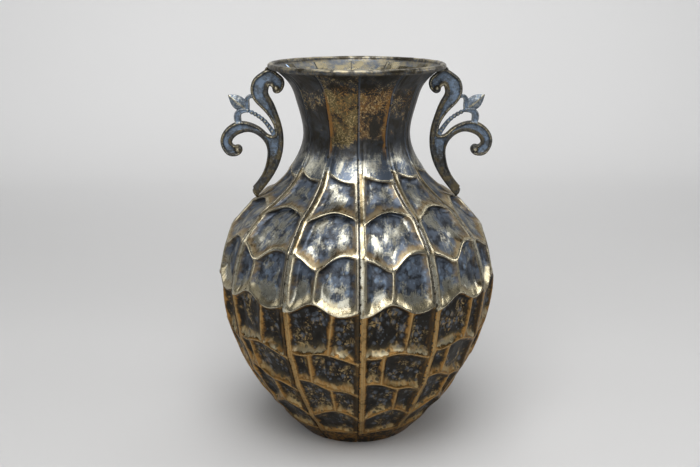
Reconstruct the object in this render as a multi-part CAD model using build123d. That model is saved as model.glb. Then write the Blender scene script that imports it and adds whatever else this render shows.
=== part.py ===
from build123d import *
from math import cos, hypot, pi, radians, sin, sqrt
import os

import numpy as np

# Urn vase, in millimetres: twelve stamped sheet-iron gores lapped into a body, a rod ring
# for the rim, a base plate, and two cast scroll handles held by weld beads.
# +Z is up, the origin is on the floor under the middle, and the front seam faces -Y.

# Body outline: the outer radius at the floor, then each step up and the radius reached there
BASE_RADIUS = 81.5
FOOT_RISE = 35.0
FOOT_RADIUS = 113.5
FLANK_RISE = 55.0
FLANK_RADIUS = 151.5
HIP_RISE = 70.0
HIP_RADIUS = 180.5
BELLY_RISE = 68.0
BELLY_RADIUS = 189.8
CHEST_RISE = 57.0
CHEST_RADIUS = 175.2
SHOULDER_RISE = 35.0
SHOULDER_RADIUS = 148.8
SLOPE_RISE = 30.0
SLOPE_RADIUS = 110.3
NAPE_RISE = 30.0
NAPE_RADIUS = 84.0
NECK_RISE = 35.0
NECK_RADIUS = 71.8
THROAT_RISE = 45.0
THROAT_RADIUS = 80.4
FLARE_RISE = 30.0
FLARE_RADIUS = 95.0
RIM_RISE = 16.0
RIM_RADIUS = 114.0

# Sheet panels and their lapped seams
GORE_COUNT = 12
SHEET_THICKNESS = 1.0
LAP_GAP = 0.3
LAP_SETBACK = 0.8
WIDE_BAND = 6.5
NARROW_BAND = 2.0
JOGGLE_WIDTH = 1.4
GROOVE_WIDTH = 0.6
FLANGE_WIDTH = 5.5
SEAT_GAP = 0.3
SECTION_PITCH = 3.0
NECK_SECTION_PITCH = 9.0
PANEL_COLUMNS = 26
OUTLINE_SAMPLES = 2000

# Stamped dishes: ridge lines from the floor up, as (share across the panel, height), on a
# panel drawn with its nape at DRAWN_NAPE_HEIGHT, and the depth of each row of dishes
DRAWN_NAPE_HEIGHT = 380.0
RIDGES = [
    [(0.0, 23.0), (0.5, 27.0), (1.0, 27.0)],
    [(0.0, 54.0), (0.3, 66.5), (0.58, 75.0), (0.8, 69.0), (1.0, 58.0)],
    [(0.0, 120.5), (0.18, 124.5), (0.35, 122.0), (0.58, 113.5), (0.72, 113.0), (1.0, 103.0)],
    [(0.0, 167.0), (0.2, 164.3), (0.5, 169.6), (0.68, 166.5), (1.0, 154.5)],
    [(0.0, 221.5), (0.12, 223.5), (0.4, 236.5), (0.52, 232.5), (0.68, 224.0), (1.0, 228.5)],
    [(0.0, 291.0), (0.25, 284.0), (0.44, 276.5), (0.6, 286.5), (0.78, 293.3), (1.0, 291.0)],
    [(0.0, 322.0), (0.15, 327.5), (0.35, 333.5), (0.57, 336.3), (0.8, 333.5), (1.0, 329.0)],
    [(0.0, 379.0), (0.2, 375.3), (0.55, 369.0), (1.0, 367.5)],
]
DISH_DEPTHS = [5.5, 6.5, 6.5, 7.5, 7.5, 8.0, 5.0]
# Rows split in two by an upright ridge: row number, share at its foot, share at its head
DIVIDERS = {1: (0.6, 0.585), 2: (0.315, 0.32), 3: (0.59, 0.665), 4: (0.41, 0.445)}
# A dish falls steeply below its upper ridge and climbs slowly to its lower one
HEAD_RAMP = 10.0
FOOT_RAMP = 16.0
SIDE_RAMP = 11.0
CREST_ROUNDING = 2.6
# Between the ridges the seams sag too, and the sag dies out towards the middle of the panel
SEAM_SAG = 2.2
SAG_RAMP = 22.0
SAG_SHARE = 0.28

# Rim ring and base plate
RIM_ROD = 8.0
BASE_PLATE_THICKNESS = 1.5
BASE_LIP_HEIGHT = 12.0

# Handles: the drawing's origin is the foot on the shoulder, and its top sits under the rim
HANDLE_FOOT_HEIGHT = 330.0
HANDLE_THICKNESS = 9.0
HANDLE_DRAWN_TOP = (-21.2, 171.8)
CHANNEL_DEPTH = 1.6
NECK_EDGE = [(0, 0), (-16.8, 20.7), (-28.2, 39.3), (-34.7, 57.7), (-36.9, 75.9), (-35.5, 92.9),
             (-30, 112.1), (-22.1, 131.1), (-17.6, 141), (-19.6, 149.5)]
CROWN_EDGE = [(-19.6, 149.5), (-22.6, 147.5), (-23.9, 142.5), (-28.9, 139.4), (-34.6, 141.7),
              (-38.9, 148.8), (-39.1, 155.9), (-36.4, 161), (-30.8, 165.8), (-25.6, 170),
              (-21.2, 171.6), (-16.1, 171), (-7.7, 166.4), (0.8, 159.4), (5.3, 148.8), (5, 138.2),
              (-0.6, 127.5), (-9.8, 118), (-19.1, 106.1), (-24.7, 92.9), (-25.1, 83.8)]
SCROLL_EDGE = [(-25.1, 83.8), (-19.6, 83.8), (-9.1, 91.7), (2.7, 98.9), (20.5, 102.5), (33.9, 97.7),
               (43.8, 88), (47.9, 75.9), (44.8, 63.8), (37.9, 56.4), (28.2, 55.2), (20.9, 58.9),
               (18.8, 66.2), (22.9, 70.8), (28.6, 70.3)]
BELLY_EDGE = [(28.6, 70.3), (32.1, 73), (29.8, 79.6), (21.1, 85.6), (10.2, 88), (-2.8, 83.2),
              (-11, 74.7), (-14.4, 66.2), (-14, 51.5), (-9.9, 36.8), (-2.2, 23.2), (6, 13.2)]
# Limbs are drawn as (x, z, half width) along their middle line
STEM_CHANNEL = [(-20.5, 43, 5.8), (-28.6, 62, 4.4), (-30.6, 78, 3.4), (-30.1, 92.5, 3),
                (-23.9, 110, 4), (-13.2, 127.2, 7), (-6, 140.5, 8.4), (-9.5, 153, 8.6),
                (-19, 159.6, 7.6), (-28.5, 155.5, 6)]
SCROLL_CHANNEL = [(-14, 77, 3), (-6, 87.3, 3.2), (4.5, 93.2, 3.8), (18, 94.8, 5.2), (29.2, 90.6, 5.8),
                  (37.2, 83, 5.8), (40, 74.5, 5.6), (38.6, 66, 4.2), (34, 61, 2.8)]
CROWN_KNOB = (-28.5, 146, 4.2)
SCROLL_KNOB = (25.2, 63.5, 4.4)
KNOB_PROUD = 0.6
BEAD_STEM = [(-24.5, 84.5, 2.4), (-17.6, 95.3, 2.4), (-9.5, 104.9, 2.4), (-1.3, 110.9, 2.4),
             (9.5, 116.6, 2.4)]
BEAD_COUNT = 8
BEAD_RADIUS = 2.6
BEAD_STEM_THICKNESS = 4.0
BUD_UPPER_EDGE = [(11, 118), (13.5, 131), (22.9, 137), (35.9, 137.6)]
BUD_LOWER_EDGE = [(35.9, 137.6), (33.8, 129.9), (27.1, 119.2), (18, 116.6), (11, 118)]
BUD_HEART = (22, 127)
BUD_FACE_SHARE = 0.35
BUD_THICKNESS = 10.0
INNER_PETAL = [(10.8, 116, 2.6), (10.9, 124, 3.5), (10.7, 131, 3.4), (8, 135, 2.8), (3.5, 135.6, 2.4)]
OUTER_PETAL = [(9.5, 116.5, 2.4), (17, 116.4, 3), (23, 112.8, 4.6), (24, 106.5, 4.8), (22.6, 100, 4)]
PETAL_THICKNESS = 7.0

# Weld beads
HANDLE_WELD_RADIUS = 2.4
HANDLE_WELD_LENGTH = 8.0
TOP_WELD_ANGLE = 23.0


def smooth_curve(points):
    """Return y(x) on the natural cubic spline through the points."""
    x, y = np.array(points, dtype=float).T
    step = np.diff(x)
    slope = np.diff(y) / step
    system = np.eye(len(x))
    bend = np.zeros(len(x))
    for i in range(1, len(x) - 1):
        system[i, i - 1:i + 2] = step[i - 1], 2 * (step[i - 1] + step[i]), step[i]
        bend[i] = 6 * (slope[i] - slope[i - 1])
    second = np.linalg.solve(system, bend)

    def value(t):
        i = np.clip(np.searchsorted(x, t) - 1, 0, len(x) - 2)
        a = t - x[i]
        b = x[i + 1] - t
        h = step[i]
        curve = second[i] * (b ** 3 / h - h * b) + second[i + 1] * (a ** 3 / h - h * a)
        return (y[i] * b + y[i + 1] * a) / h + curve / 6

    return value


# Heights of the outline's points, added up from the floor
RISES = [0.0, FOOT_RISE, FLANK_RISE, HIP_RISE, BELLY_RISE, CHEST_RISE, SHOULDER_RISE, SLOPE_RISE,
         NAPE_RISE, NECK_RISE, THROAT_RISE, FLARE_RISE, RIM_RISE]
RADII = [BASE_RADIUS, FOOT_RADIUS, FLANK_RADIUS, HIP_RADIUS, BELLY_RADIUS, CHEST_RADIUS,
         SHOULDER_RADIUS, SLOPE_RADIUS, NAPE_RADIUS, NECK_RADIUS, THROAT_RADIUS, FLARE_RADIUS,
         RIM_RADIUS]
HEIGHTS = np.cumsum(RISES)
RIM_HEIGHT = HEIGHTS[-1]
NAPE_HEIGHT = RIM_HEIGHT - RIM_RISE - FLARE_RISE - THROAT_RISE - NECK_RISE
profile_radius = smooth_curve(list(zip(HEIGHTS, RADII)))


def profile_slope(z):
    """Change of the outline's radius for each millimetre of height."""
    return profile_radius(z + 0.5) - profile_radius(z - 0.5)


def stretch(z):
    """Level distance for each millimetre measured square to the outline."""
    return sqrt(1 + profile_slope(z) ** 2)


# Panels start just above the base plate's underside and stop short of the rim rod
LEVELS = np.linspace(0, RIM_HEIGHT, OUTLINE_SAMPLES)
RIM_DISTANCES = np.hypot(profile_radius(LEVELS) - RIM_RADIUS, LEVELS - RIM_HEIGHT)
PANEL_BOTTOM = SEAT_GAP
PANEL_TOP = LEVELS[RIM_DISTANCES > RIM_ROD / 2 + SEAT_GAP].max()
RUNS = np.concatenate([[0], np.cumsum(np.hypot(np.diff(LEVELS), np.diff(profile_radius(LEVELS))))])
PATTERN_SCALE = NAPE_HEIGHT / DRAWN_NAPE_HEIGHT
ridge_lines = [smooth_curve(ridge) for ridge in RIDGES]


def run_at(z):
    """Distance along the outline from the floor to height z."""
    return np.interp(z, LEVELS, RUNS)


# Ridges of neighbouring panels meet a seam at two heights, and the seam is highest midway
SEAM_CRESTS = [run_at((ridge[0][1] + ridge[-1][1]) / 2 * PATTERN_SCALE) for ridge in RIDGES]


def smooth_step(share):
    """Smooth rise from 0 at share 0 to 1 at share 1."""
    share = np.clip(share, 0, 1)
    return share * share * (3 - 2 * share)


def ramp(distance, length):
    """Share of a hollow's depth at a distance from one of its ridges."""
    if distance <= 0:
        return 0.0
    rounded = hypot(distance, CREST_ROUNDING) - CREST_ROUNDING
    return 1 - (1 - min(rounded / length, 1)) ** 2


def relief(across, z, width):
    """Depth of the stamped dishes at a distance across a panel of this width."""
    share = across / width
    run = run_at(z)
    crests = [run_at(line(share) * PATTERN_SCALE) for line in ridge_lines]
    for row, depth in enumerate(DISH_DEPTHS):
        low, high = crests[row], crests[row + 1]
        if not low < run < high:
            continue
        left, right = WIDE_BAND, dish_end(width)
        if row in DIVIDERS:
            foot, head = DIVIDERS[row]
            middle = width * (foot + (head - foot) * (run - low) / (high - low))
            if across < middle:
                right = middle
            else:
                left = middle
        sides = ramp(across - left, SIDE_RAMP) * ramp(right - across, SIDE_RAMP)
        return depth * sides * ramp(run - low, FOOT_RAMP) * ramp(high - run, HEAD_RAMP)
    return 0.0


def seam_sag(z):
    """Depth of a seam at height z, none where ridges meet it."""
    run = run_at(z)
    for low, high in zip(SEAM_CRESTS, SEAM_CRESTS[1:]):
        if low < run < high:
            return SEAM_SAG * ramp(run - low, SAG_RAMP) * ramp(high - run, SAG_RAMP)
    return 0.0


def border_sag(across, z, width):
    """Sag of the panel near its two borders."""
    return seam_sag(z) * (1 - smooth_step(min(across, width - across) / (SAG_SHARE * width)))


def joggle_start(width):
    """Place across a panel where its right border starts to drop."""
    return width - GROOVE_WIDTH - JOGGLE_WIDTH


def dish_end(width):
    """Place across a panel where its dishes end beside the narrow band."""
    return joggle_start(width) - NARROW_BAND


def joggle(across, width):
    """Drop of the panel's right border under the next panel's band."""
    return (SHEET_THICKNESS + LAP_GAP) * smooth_step((across - joggle_start(width)) / JOGGLE_WIDTH)


def columns(width):
    """Places across a panel, close together at its two borders."""
    end = dish_end(width)
    drop = joggle_start(width)
    dishes = np.linspace(WIDE_BAND, end, PANEL_COLUMNS).tolist()
    borders = [end + NARROW_BAND / 2, drop, drop + JOGGLE_WIDTH / 2, drop + JOGGLE_WIDTH]
    flange = [width + LAP_SETBACK, width + FLANGE_WIDTH / 2, width + FLANGE_WIDTH]
    return [LAP_SETBACK, WIDE_BAND / 2] + dishes + borders + flange


# One set of spline parameters for every section, so that sections match along the panel
BELLY_COLUMNS = columns(2 * pi * BELLY_RADIUS / GORE_COUNT)
COLUMN_SPAN = BELLY_COLUMNS[-1] - BELLY_COLUMNS[0]
COLUMN_SHARES = [(place - BELLY_COLUMNS[0]) / COLUMN_SPAN for place in BELLY_COLUMNS]


def panel_section(z):
    """Closed outline of a panel cut level at height z."""
    radius = profile_radius(z)
    level = stretch(z)
    width = 2 * pi * radius / GORE_COUNT
    outer, inner = [], []
    for across in columns(width):
        depth = relief(across, z, width) + border_sag(across, z, width) + joggle(across, width)
        angle = across / radius
        for points, sunk in ((outer, depth), (inner, depth + SHEET_THICKNESS)):
            r = radius - sunk * level
            points.append((r * cos(angle), r * sin(angle), z))
    front = Edge.make_spline(outer, parameters=COLUMN_SHARES)
    back = Edge.make_spline(inner, parameters=COLUMN_SHARES)
    right_end = Edge.make_line(outer[-1], inner[-1])
    left_end = Edge.make_line(inner[0], outer[0])
    return Wire([front, right_end, back, left_end])


def gore_panel():
    """One stamped panel, with its left edge on the XZ plane."""
    first, nape, last = run_at(PANEL_BOTTOM), run_at(NAPE_HEIGHT), run_at(PANEL_TOP)
    dished = np.linspace(first, nape, round((nape - first) / SECTION_PITCH), endpoint=False)
    plain = np.linspace(nape, last, round((last - nape) / NECK_SECTION_PITCH))
    levels = np.interp(np.concatenate([dished, plain]), RUNS, LEVELS)
    levels[0], levels[-1] = PANEL_BOTTOM, PANEL_TOP
    return Solid.make_loft([panel_section(float(z)) for z in levels])


def rim_ring():
    """Rod bent into the ring that finishes the mouth."""
    return Pos(0, 0, RIM_HEIGHT) * Torus(RIM_RADIUS, RIM_ROD / 2)


def base_plate():
    """Flat disc with a lip turned up inside the panels."""
    gap = 2 * SHEET_THICKNESS + LAP_GAP + SEAT_GAP
    top = BASE_LIP_HEIGHT
    lip = BASE_PLATE_THICKNESS
    foot_radius = profile_radius(0) - gap * stretch(0)
    top_radius = profile_radius(top) - gap * stretch(top)
    slope = stretch(top / 2)
    section = Polyline(
        (0, 0), (foot_radius, 0), (top_radius, top), (top_radius - lip * slope, top),
        (foot_radius - lip * (slope - 1), lip), (0, lip), close=True)
    return revolve(Plane.XZ * make_face(section), Axis.Z)


# Where the handles meet the body: on the shoulder, and under the rim rod
FOOT_LIFT = SEAT_GAP - seam_sag(HANDLE_FOOT_HEIGHT)
FOOT_X = profile_radius(HANDLE_FOOT_HEIGHT) + FOOT_LIFT * stretch(HANDLE_FOOT_HEIGHT)
TOP_Z = RIM_HEIGHT - RIM_ROD / 2 - SEAT_GAP


def placed(x, z):
    """Carry a point of the handle drawing to its place between shoulder and rim."""
    share = z / HANDLE_DRAWN_TOP[1]
    lean = RIM_RADIUS - FOOT_X - HANDLE_DRAWN_TOP[0]
    rise = TOP_Z - HANDLE_FOOT_HEIGHT
    return Vector(FOOT_X + x + lean * share, 0, HANDLE_FOOT_HEIGHT + rise * share)


def drawn_edge(points):
    """Smooth edge through points of the handle drawing."""
    return Edge.make_spline([placed(x, z) for x, z in points])


def limb(stations):
    """Flat face of a limb whose width changes along its middle line."""
    middle = drawn_edge([(x, z) for x, z, half in stations])
    left, right = [], []
    for x, z, half in stations:
        point = placed(x, z)
        along = middle.tangent_at(middle.param_at_point(point))
        side = Vector(-along.Z, 0, along.X) * half
        left.append(point + side)
        right.append(point - side)
    sides = Edge.make_spline(left), Edge.make_spline(right)
    ends = Edge.make_line(left[-1], right[-1]), Edge.make_line(left[0], right[0])
    return Face(Wire([sides[0], ends[0], sides[1], ends[1]]))


def slab(face, thickness):
    """Extrude a face of the handle drawing equally to front and back."""
    return extrude(face, thickness / 2, dir=(0, 1, 0), both=True)


def channels():
    """Hollows that leave a raised border on both faces of a handle."""
    floor = HANDLE_THICKNESS - 2 * CHANNEL_DEPTH
    cutters = []
    for stations in (STEM_CHANNEL, SCROLL_CHANNEL):
        face = limb(stations)
        cutters += [slab(face, 2 * HANDLE_THICKNESS) - slab(face, floor)]
    return cutters


def knob(x, z, radius):
    """Round eye at the end of a scroll."""
    centre = placed(x, z)
    return Pos(centre) * Rot(90, 0, 0) * Cylinder(radius, HANDLE_THICKNESS + 2 * KNOB_PROUD)


def beads():
    """Row of beads along the stem of the bud."""
    middle = drawn_edge([(x, z) for x, z, half in BEAD_STEM])
    places = np.linspace(0, 1, BEAD_COUNT + 2)[1:-1]
    return [Pos(middle @ float(place)) * Sphere(BEAD_RADIUS) for place in places]


def bud():
    """Pointed bud, widest at the middle of the handle's thickness."""
    outline = Wire([drawn_edge(BUD_UPPER_EDGE), drawn_edge(BUD_LOWER_EDGE)])
    face = outline.scale(BUD_FACE_SHARE, about=placed(*BUD_HEART))
    depth = BUD_THICKNESS / 2
    return Solid.make_loft([Pos(0, -depth, 0) * face, outline, Pos(0, depth, 0) * face], ruled=True)


def right_handle():
    """Cast scroll handle on the +X side."""
    edges = [drawn_edge(points) for points in (NECK_EDGE, CROWN_EDGE, SCROLL_EDGE, BELLY_EDGE)]
    foot = Edge.make_line(placed(*BELLY_EDGE[-1]), placed(*NECK_EDGE[0]))
    body = slab(Face(Wire(edges + [foot])), HANDLE_THICKNESS)
    for cutter in channels():
        body -= cutter
    body += slab(limb(BEAD_STEM), BEAD_STEM_THICKNESS)
    body += slab(limb(INNER_PETAL), PETAL_THICKNESS)
    body += slab(limb(OUTER_PETAL), PETAL_THICKNESS)
    body += bud()
    for bead in beads():
        body += bead
    for eye in (CROWN_KNOB, SCROLL_KNOB):
        body += knob(*eye)
    return body


def weld_bead(x, z):
    """Short weld bead laid along Y across a handle's end."""
    bead = Cylinder(HANDLE_WELD_RADIUS, HANDLE_WELD_LENGTH)
    bead = fillet(bead.edges().filter_by(GeomType.CIRCLE), HANDLE_WELD_RADIUS / 2)
    return Pos(x, 0, z) * Rot(90, 0, 0) * bead


def both_sides(solid):
    """The solid with its mirror image on the other side of the vase."""
    return Compound([solid, mirror(solid, Plane.YZ)])


def top_welds():
    """Beads in the corner between the rim rod and the crown of each handle."""
    reach = RIM_ROD / 2 + SEAT_GAP + HANDLE_WELD_RADIUS
    angle = radians(TOP_WELD_ANGLE)
    return both_sides(weld_bead(RIM_RADIUS + reach * cos(angle), RIM_HEIGHT - reach * sin(angle)))


def foot_welds():
    """Beads in the corner between each handle's foot and the shoulder."""
    heel = placed(*BELLY_EDGE[-1]) - placed(*NECK_EDGE[0])
    end_normal = Vector(heel.Z, 0, -heel.X).normalized()
    level = stretch(HANDLE_FOOT_HEIGHT)
    wall_normal = Vector(1 / level, 0, -profile_slope(HANDLE_FOOT_HEIGHT) / level)
    reach = HANDLE_WELD_RADIUS + SEAT_GAP
    between = end_normal.dot(wall_normal)
    centre = placed(*NECK_EDGE[0]) + (end_normal + wall_normal) * (reach / (1 + between))
    return both_sides(weld_bead(centre.X, centre.Z))


parts = {
    "rim_ring": rim_ring(),
    "base_plate": base_plate(),
    "right_handle": right_handle(),
    "handle_top_welds": top_welds(),
    "handle_foot_welds": foot_welds(),
}
parts["left_handle"] = mirror(parts["right_handle"], Plane.YZ)
panel = gore_panel()
for i in range(GORE_COUNT):
    parts[f"gore_panel_{i + 1:02d}"] = Rot(0, 0, 360 * i / GORE_COUNT - 90) * panel

os.makedirs("parts", exist_ok=True)
for name, shape in parts.items():
    export_step(shape, f"parts/{name}.step")
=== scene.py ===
from functools import reduce
from math import pi, radians
from types import SimpleNamespace

import bpy
import numpy as np
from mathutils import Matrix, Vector


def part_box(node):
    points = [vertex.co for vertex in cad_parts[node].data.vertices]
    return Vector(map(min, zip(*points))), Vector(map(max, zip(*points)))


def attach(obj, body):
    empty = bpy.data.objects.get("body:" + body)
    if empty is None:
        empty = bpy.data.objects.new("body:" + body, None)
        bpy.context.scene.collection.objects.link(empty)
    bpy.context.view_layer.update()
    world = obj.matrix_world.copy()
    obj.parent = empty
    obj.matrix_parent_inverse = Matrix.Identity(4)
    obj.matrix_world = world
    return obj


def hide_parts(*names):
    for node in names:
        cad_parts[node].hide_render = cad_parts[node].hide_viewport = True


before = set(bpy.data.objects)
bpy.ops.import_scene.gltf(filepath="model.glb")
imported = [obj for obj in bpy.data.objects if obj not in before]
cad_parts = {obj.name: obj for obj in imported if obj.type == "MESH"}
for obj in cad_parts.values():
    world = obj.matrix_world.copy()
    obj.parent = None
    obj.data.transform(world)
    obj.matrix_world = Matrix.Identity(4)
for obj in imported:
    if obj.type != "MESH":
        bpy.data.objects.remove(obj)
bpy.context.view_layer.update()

# Urn vase. Shapes are worked out in millimetres in the part's frame and stored in metres.
MM = 0.001

# Body outline of the CAD part, with the laps of its seams drawn tighter
HEIGHTS = np.array([0, 35, 90, 160, 228, 285, 320, 350, 380, 415, 460, 490, 506], float)
RADII = np.array([81.5, 113.5, 151.5, 180.5, 189.8, 175.2, 148.8, 110.3, 84, 71.8, 80.4, 95, 114], float)
RIM_HEIGHT = 506.0
RIM_RADIUS = 114.0
RIM_ROD = 8.0
RIM_WEAR = 0.03
PANEL_BOTTOM = 0.3
GORE_COUNT = 12
SHEET_THICKNESS = 1.0
LAP_GAP = 0.3
LAP_SETBACK = 0.2
WIDE_BAND = 6.5
NARROW_BAND = 2.0
JOGGLE_WIDTH = 0.7
GROOVE_WIDTH = 0.2
FLANGE_WIDTH = 5.5
SEAT_GAP = 0.3

# Stamped pattern: ridge lines from the floor up, as (share across the panel, height)
RIDGES = [
    [(0, 23), (0.5, 27), (1, 27)],
    [(0, 54), (0.3, 66.5), (0.58, 75), (0.8, 69), (1, 58)],
    [(0, 120.5), (0.18, 124.5), (0.35, 122), (0.58, 113.5), (0.72, 113), (1, 103)],
    [(0, 167), (0.2, 164.3), (0.5, 169.6), (0.68, 166.5), (1, 154.5)],
    [(0, 221.5), (0.12, 223.5), (0.4, 236.5), (0.52, 232.5), (0.68, 224), (1, 228.5)],
    [(0, 291), (0.25, 284), (0.44, 276.5), (0.6, 286.5), (0.78, 293.3), (1, 291)],
    [(0, 322), (0.15, 327.5), (0.35, 333.5), (0.57, 336.3), (0.8, 333.5), (1, 329)],
    [(0, 379), (0.2, 375.3), (0.55, 369), (1, 367.5)],
]
DISH_DEPTHS = [5.5, 6.5, 6.5, 7.5, 7.5, 8.0, 5.0]
DIVIDERS = {1: (0.6, 0.585), 2: (0.315, 0.32), 3: (0.59, 0.665), 4: (0.41, 0.445)}
# Each dish falls steeply under its upper ridge and climbs slowly to its lower one
HEAD_RAMP = 8.0
FOOT_RAMP = 17.0
LEFT_RAMP = 8.0
RIGHT_RAMP = 11.0
CREST_ROUNDING = 1.8
# Between the ridges the seams sag too, and the sag dies out towards the middle of the panel
SEAM_SAG = 2.2
SAG_RAMP = 22.0
SAG_SHARE = 0.28
# The wide band is slightly rounded
BAND_CROWN = 0.45
CROWN_FADE = 5.0
# Inside, the step beside each flange is hammered flat and solder closes the flange's raw end
INNER_RAMP = 14.0
SOLDER_WIDTH = 1.0
# Hand-work: soft dents in the dishes, none close to a ridge, and dishes of uneven depth
DENT_HEIGHT = 0.3
DENT_LENGTH = 24.0
DENT_INSET = 7.0
DEPTH_SPREAD = 0.07
DEPTH_LENGTH = 160.0
# Spread of the wave lengths in an uneven surface
WAVE_LENGTHS = (0.6, 1.6)

# Mesh fineness
DISH_COLUMNS = 64
BOTTOM_ROWS = 8
DISH_ROWS = 26
NECK_ROWS = 52
ROW_CROWDING = 0.6
INNER_ROW_STEP = 2
INNER_COLUMN_STEP = 3
OUTLINE_STEPS = 2000
LAYOUT_PASSES = 5
SEED = 7
# Rows of the pattern are numbered from 0 at the floor; -1 is the foot below them, 9 the inner face
BELLY_ROW = 4
NECK_ROW = 7
INNER_ROW = 9
# Distance between two gores laid flat side by side, which gives each its own patina
GORE_SPACING = 137.0
# How much gold is left on the neck of each gore
NECK_GILDING = [0.74, 0.56, 0.2, 0.35, 0.55, 0.3, 0.7, 0.45, 0.6, 0.25, 0.5, 0.84]
# Which seam of each gore has rusted on the neck: -1 the left, 1 the right, 0 neither
RUSTED_SEAM = [1, 0, 0, 1, 0, 0, -1, 0, 1, 0, 0, -1]
NO_RUST = 99.0


def smooth_curve(points):
    """Return y(x) on the natural cubic spline through the points."""
    x, y = np.array(points, float).T
    step = np.diff(x)
    slope = np.diff(y) / step
    system = np.eye(len(x))
    bend = np.zeros(len(x))
    for i in range(1, len(x) - 1):
        system[i, i - 1:i + 2] = step[i - 1], 2 * (step[i - 1] + step[i]), step[i]
        bend[i] = 6 * (slope[i] - slope[i - 1])
    second = np.linalg.solve(system, bend)

    def value(t):
        i = np.clip(np.searchsorted(x, t) - 1, 0, len(x) - 2)
        a = t - x[i]
        b = x[i + 1] - t
        h = step[i]
        curve = second[i] * (b ** 3 / h - h * b) + second[i + 1] * (a ** 3 / h - h * a)
        return (y[i] * b + y[i + 1] * a) / h + curve / 6

    return value


profile_radius = smooth_curve(np.column_stack([HEIGHTS, RADII]))
ridge_lines = [smooth_curve(ridge) for ridge in RIDGES]
LEVELS = np.linspace(0, RIM_HEIGHT, OUTLINE_STEPS)
OUTLINE = profile_radius(LEVELS)
RUNS = np.append(0, np.cumsum(np.hypot(np.diff(LEVELS), np.diff(OUTLINE))))
RIM_DISTANCES = np.hypot(OUTLINE - RIM_RADIUS, LEVELS - RIM_HEIGHT)
PANEL_TOP = LEVELS[RIM_DISTANCES > RIM_ROD / 2 + SEAT_GAP].max()


def run_at(z):
    """Distance along the outline from the floor to height z."""
    return np.interp(z, LEVELS, RUNS)


def height_at(run):
    """Height at a distance along the outline from the floor."""
    return np.interp(run, RUNS, LEVELS)


def stretch(z):
    """Level distance for each millimetre measured square to the outline."""
    slope = profile_radius(z + 0.5) - profile_radius(z - 0.5)
    return np.sqrt(1 + slope ** 2)


def smoothstep(low, high, value):
    """Smooth rise from 0 at low to 1 at high."""
    share = np.clip((value - low) / (high - low), 0, 1)
    return share * share * (3 - 2 * share)


def ripple(points, rng, length, height, waves=28):
    """Soft uneven surface: a sum of seeded sine waves about this long and high."""
    total = np.zeros(points.shape[:-1])
    for _ in range(waves):
        way = rng.normal(size=3)
        way *= 2 * pi / (length * rng.uniform(*WAVE_LENGTHS) * np.linalg.norm(way))
        total += np.sin(points @ way + rng.uniform(0, 2 * pi))
    return total * height / np.sqrt(waves / 2)


def add_object(name, data):
    """Put a new object into the scene."""
    obj = bpy.data.objects.new(name, data)
    bpy.context.scene.collection.objects.link(obj)
    return obj


def mesh_object(name, points, faces, attributes, material):
    """Smooth-shaded mesh object, with a number or vector on its points for each named array."""
    mesh = bpy.data.meshes.new(name)
    mesh.from_pydata((points * MM).tolist(), [], faces.tolist())
    for label, values in attributes.items():
        kind, field = ("FLOAT", "value") if values.ndim == 1 else ("FLOAT_VECTOR", "vector")
        layer = mesh.attributes.new(label, kind, "POINT")
        layer.data.foreach_set(field, np.ascontiguousarray(values, np.float32).ravel())
    mesh.shade_smooth()
    mesh.materials.append(material)
    return add_object(name, mesh)


def grid_faces(rows, columns, start, flip):
    """Quads of a grid of points stored row by row."""
    first = np.arange(rows - 1)[:, None] * columns + np.arange(columns - 1) + start
    corners = [first, first + 1, first + columns + 1, first + columns]
    if flip:
        corners.reverse()
    return np.stack(corners, -1).reshape(-1, 4)


def joined(grids):
    """Points of several grids, one after another."""
    return np.concatenate([grid.reshape(-1, 3) for grid in grids])


def grid_object(name, grids, flips, attributes, material):
    """Mesh object made of several grids of points."""
    faces, start = [], 0
    for grid, flip in zip(grids, flips):
        rows, columns = grid.shape[:2]
        faces.append(grid_faces(rows, columns, start, flip))
        start += rows * columns
    return mesh_object(name, joined(grids), np.concatenate(faces), attributes, material)


def round_points(radius, angle, z):
    """Points at a radius and angle about the vase's axis."""
    return np.stack([radius * np.cos(angle), radius * np.sin(angle), z], -1)


def add_piece(obj, slot, *nodes):
    """Ride on the vase's one body and stand for these CAD nodes."""
    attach(obj, "root")
    if nodes:
        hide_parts(*nodes)


# Columns on the wide band: place across, and how far the sheet's raw edge is rounded down there
EDGE_COLUMNS = [(LAP_SETBACK, SHEET_THICKNESS), (LAP_SETBACK, 0.3), (LAP_SETBACK + 0.2, 0.06),
                (LAP_SETBACK + 0.6, 0.0), (2.2, 0.0), (3.4, 0.0), (4.6, 0.0), (5.6, 0.0)]
DROP_INSET = GROOVE_WIDTH + JOGGLE_WIDTH
DISH_INSET = DROP_INSET + NARROW_BAND
DISH_SHARES = np.linspace(0, 1, DISH_COLUMNS)
RIGHT_PLACES = [-DISH_INSET + 1, *np.linspace(-DROP_INSET, -GROOVE_WIDTH, 5), LAP_SETBACK, FLANGE_WIDTH]
# All columns: place across = offset + share x width of the gore
EDGE_PLACES, EDGE_SUNK = np.array(EDGE_COLUMNS).T
DISH_OFFSETS = WIDE_BAND * (1 - DISH_SHARES) - DISH_INSET * DISH_SHARES
COLUMN_OFFSETS = np.r_[EDGE_PLACES, DISH_OFFSETS, RIGHT_PLACES]
COLUMN_SHARES = np.r_[0 * EDGE_PLACES, DISH_SHARES, np.ones(len(RIGHT_PLACES))]
EDGE_SINK = np.r_[EDGE_SUNK, 0 * DISH_OFFSETS, np.zeros(len(RIGHT_PLACES))]
# The plain inner face needs fewer rows and columns
INNER_ROWS = slice(None, None, INNER_ROW_STEP)
LAST_COLUMN = len(COLUMN_OFFSETS) - 1
INNER_COLUMNS = np.append(np.arange(INNER_COLUMN_STEP, LAST_COLUMN, INNER_COLUMN_STEP), LAST_COLUMN)
INNER_PICK = (INNER_ROWS, INNER_COLUMNS)
END_PICK = (INNER_ROWS, [-1, -1])


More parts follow.
